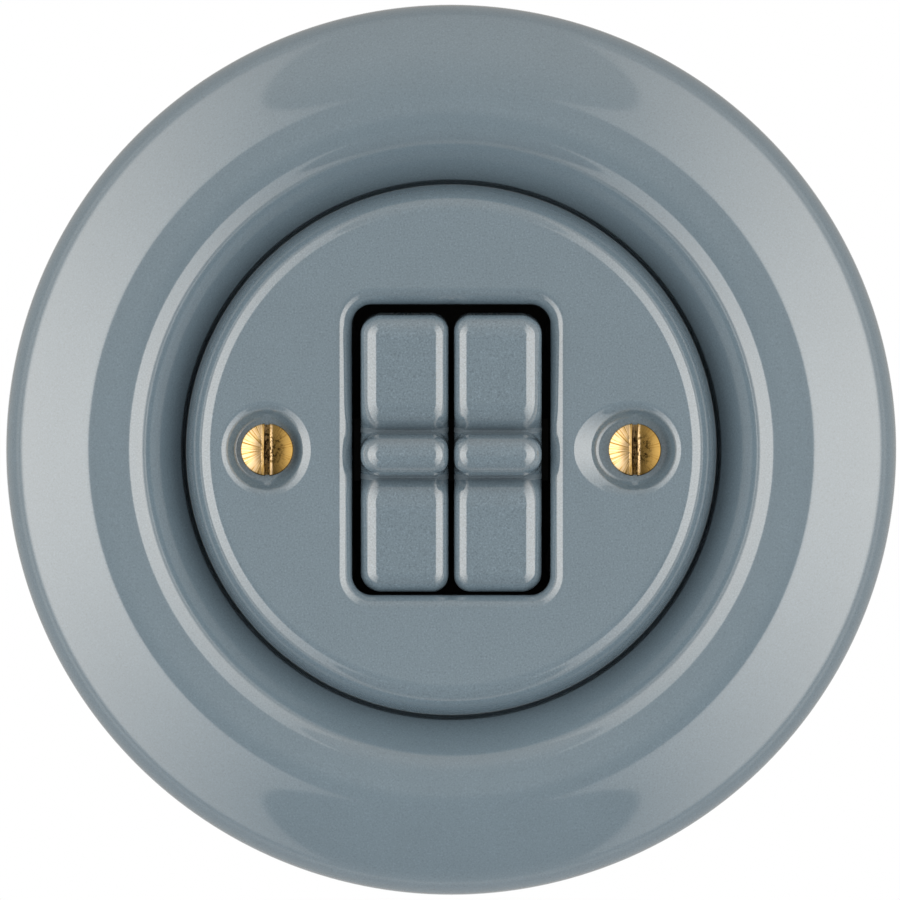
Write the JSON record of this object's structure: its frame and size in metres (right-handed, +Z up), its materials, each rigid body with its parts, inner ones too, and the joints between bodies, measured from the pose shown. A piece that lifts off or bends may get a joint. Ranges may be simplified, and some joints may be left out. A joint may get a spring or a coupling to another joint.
{
  "type": "porcelain toggle switch",
  "caption": "Round glazed porcelain wall switch: rolled surround, cover disc with slotted brass screws, and rocker keys with half-round finger ridges over a sprung contact mechanism.",
  "frame": {"origin": "centre of the switch on the wall plane, midway between the box screws", "axes": "+X to the right and +Z up as seen by the user, +Y into the wall"},
  "size_m": [0.1, 0.0367, 0.1],
  "materials": {
    "glaze": "blue-grey glaze, high gloss",
    "brass": "turned and lightly brushed",
    "steel": "zinc-plated",
    "bisque": "unglazed insulating ceramic",
    "thermoset": "moulded insulating plastic, matt",
    "silver": "silver contact metal"
  },
  "bodies": {
    "housing": {"surround_ring": "glaze", "cover_disc": "glaze", "cover_screws": "brass", "cover_pillars": "brass", "support_plate": "steel", "carrier": "thermoset", "pivot_pin": "steel", "switch_base": "bisque", "base_screws": "steel", "terminal_screws": "steel", "fixed_contacts": "silver", "left_upper_terminal": "brass", "left_lower_terminal": "brass", "left_common_terminal": "brass", "right_upper_terminal": "brass", "right_lower_terminal": "brass", "right_common_terminal": "brass"},
    "left_rocker": {"left_rocker_key": "glaze", "left_cradle": "thermoset", "left_spring": "steel"},
    "left_pusher": {"left_plunger": "thermoset"},
    "left_see_saw": {"left_bridge": "brass", "left_bridge_contacts": "silver"},
    "right_rocker": {"right_rocker_key": "glaze", "right_cradle": "thermoset", "right_spring": "steel"},
    "right_pusher": {"right_plunger": "thermoset"},
    "right_see_saw": {"right_bridge": "brass", "right_bridge_contacts": "silver"}
  },
  "joints": [
    {"name": "left_rock", "type": "hinge", "parent": "housing", "child": "left_rocker", "pos_m": [-0.00522, -0.00599, 0], "axis": [-1, 0, 0], "range_deg": [0, 10]},
    {"name": "left_plunge", "type": "slide", "parent": "left_rocker", "child": "left_pusher", "axis": [0, -0.9962, -0.0872], "range_m": [0, 0.0008], "stiffness_N_per_m": 400, "springref_m": -0.004, "deforming": ["left_spring"]},
    {"name": "left_tip", "type": "hinge", "parent": "housing", "child": "left_see_saw", "pos_m": [-0.00522, 0.012, 0], "axis": [1, 0, 0], "range_deg": [0, 16]},
    {"name": "right_rock", "type": "hinge", "parent": "housing", "child": "right_rocker", "pos_m": [0.00522, -0.00599, 0], "axis": [-1, 0, 0], "range_deg": [0, 10]},
    {"name": "right_plunge", "type": "slide", "parent": "right_rocker", "child": "right_pusher", "axis": [0, -0.9962, -0.0872], "range_m": [0, 0.0008], "stiffness_N_per_m": 400, "springref_m": -0.004, "deforming": ["right_spring"]},
    {"name": "right_tip", "type": "hinge", "parent": "housing", "child": "right_see_saw", "pos_m": [0.00522, 0.012, 0], "axis": [1, 0, 0], "range_deg": [0, 16]}
  ],
  "couplings": [
    {"joint": "left_tip", "follows": "left_rock", "ratio": 1.6},
    {"joint": "right_tip", "follows": "right_rock", "ratio": 1.6}
  ]
}
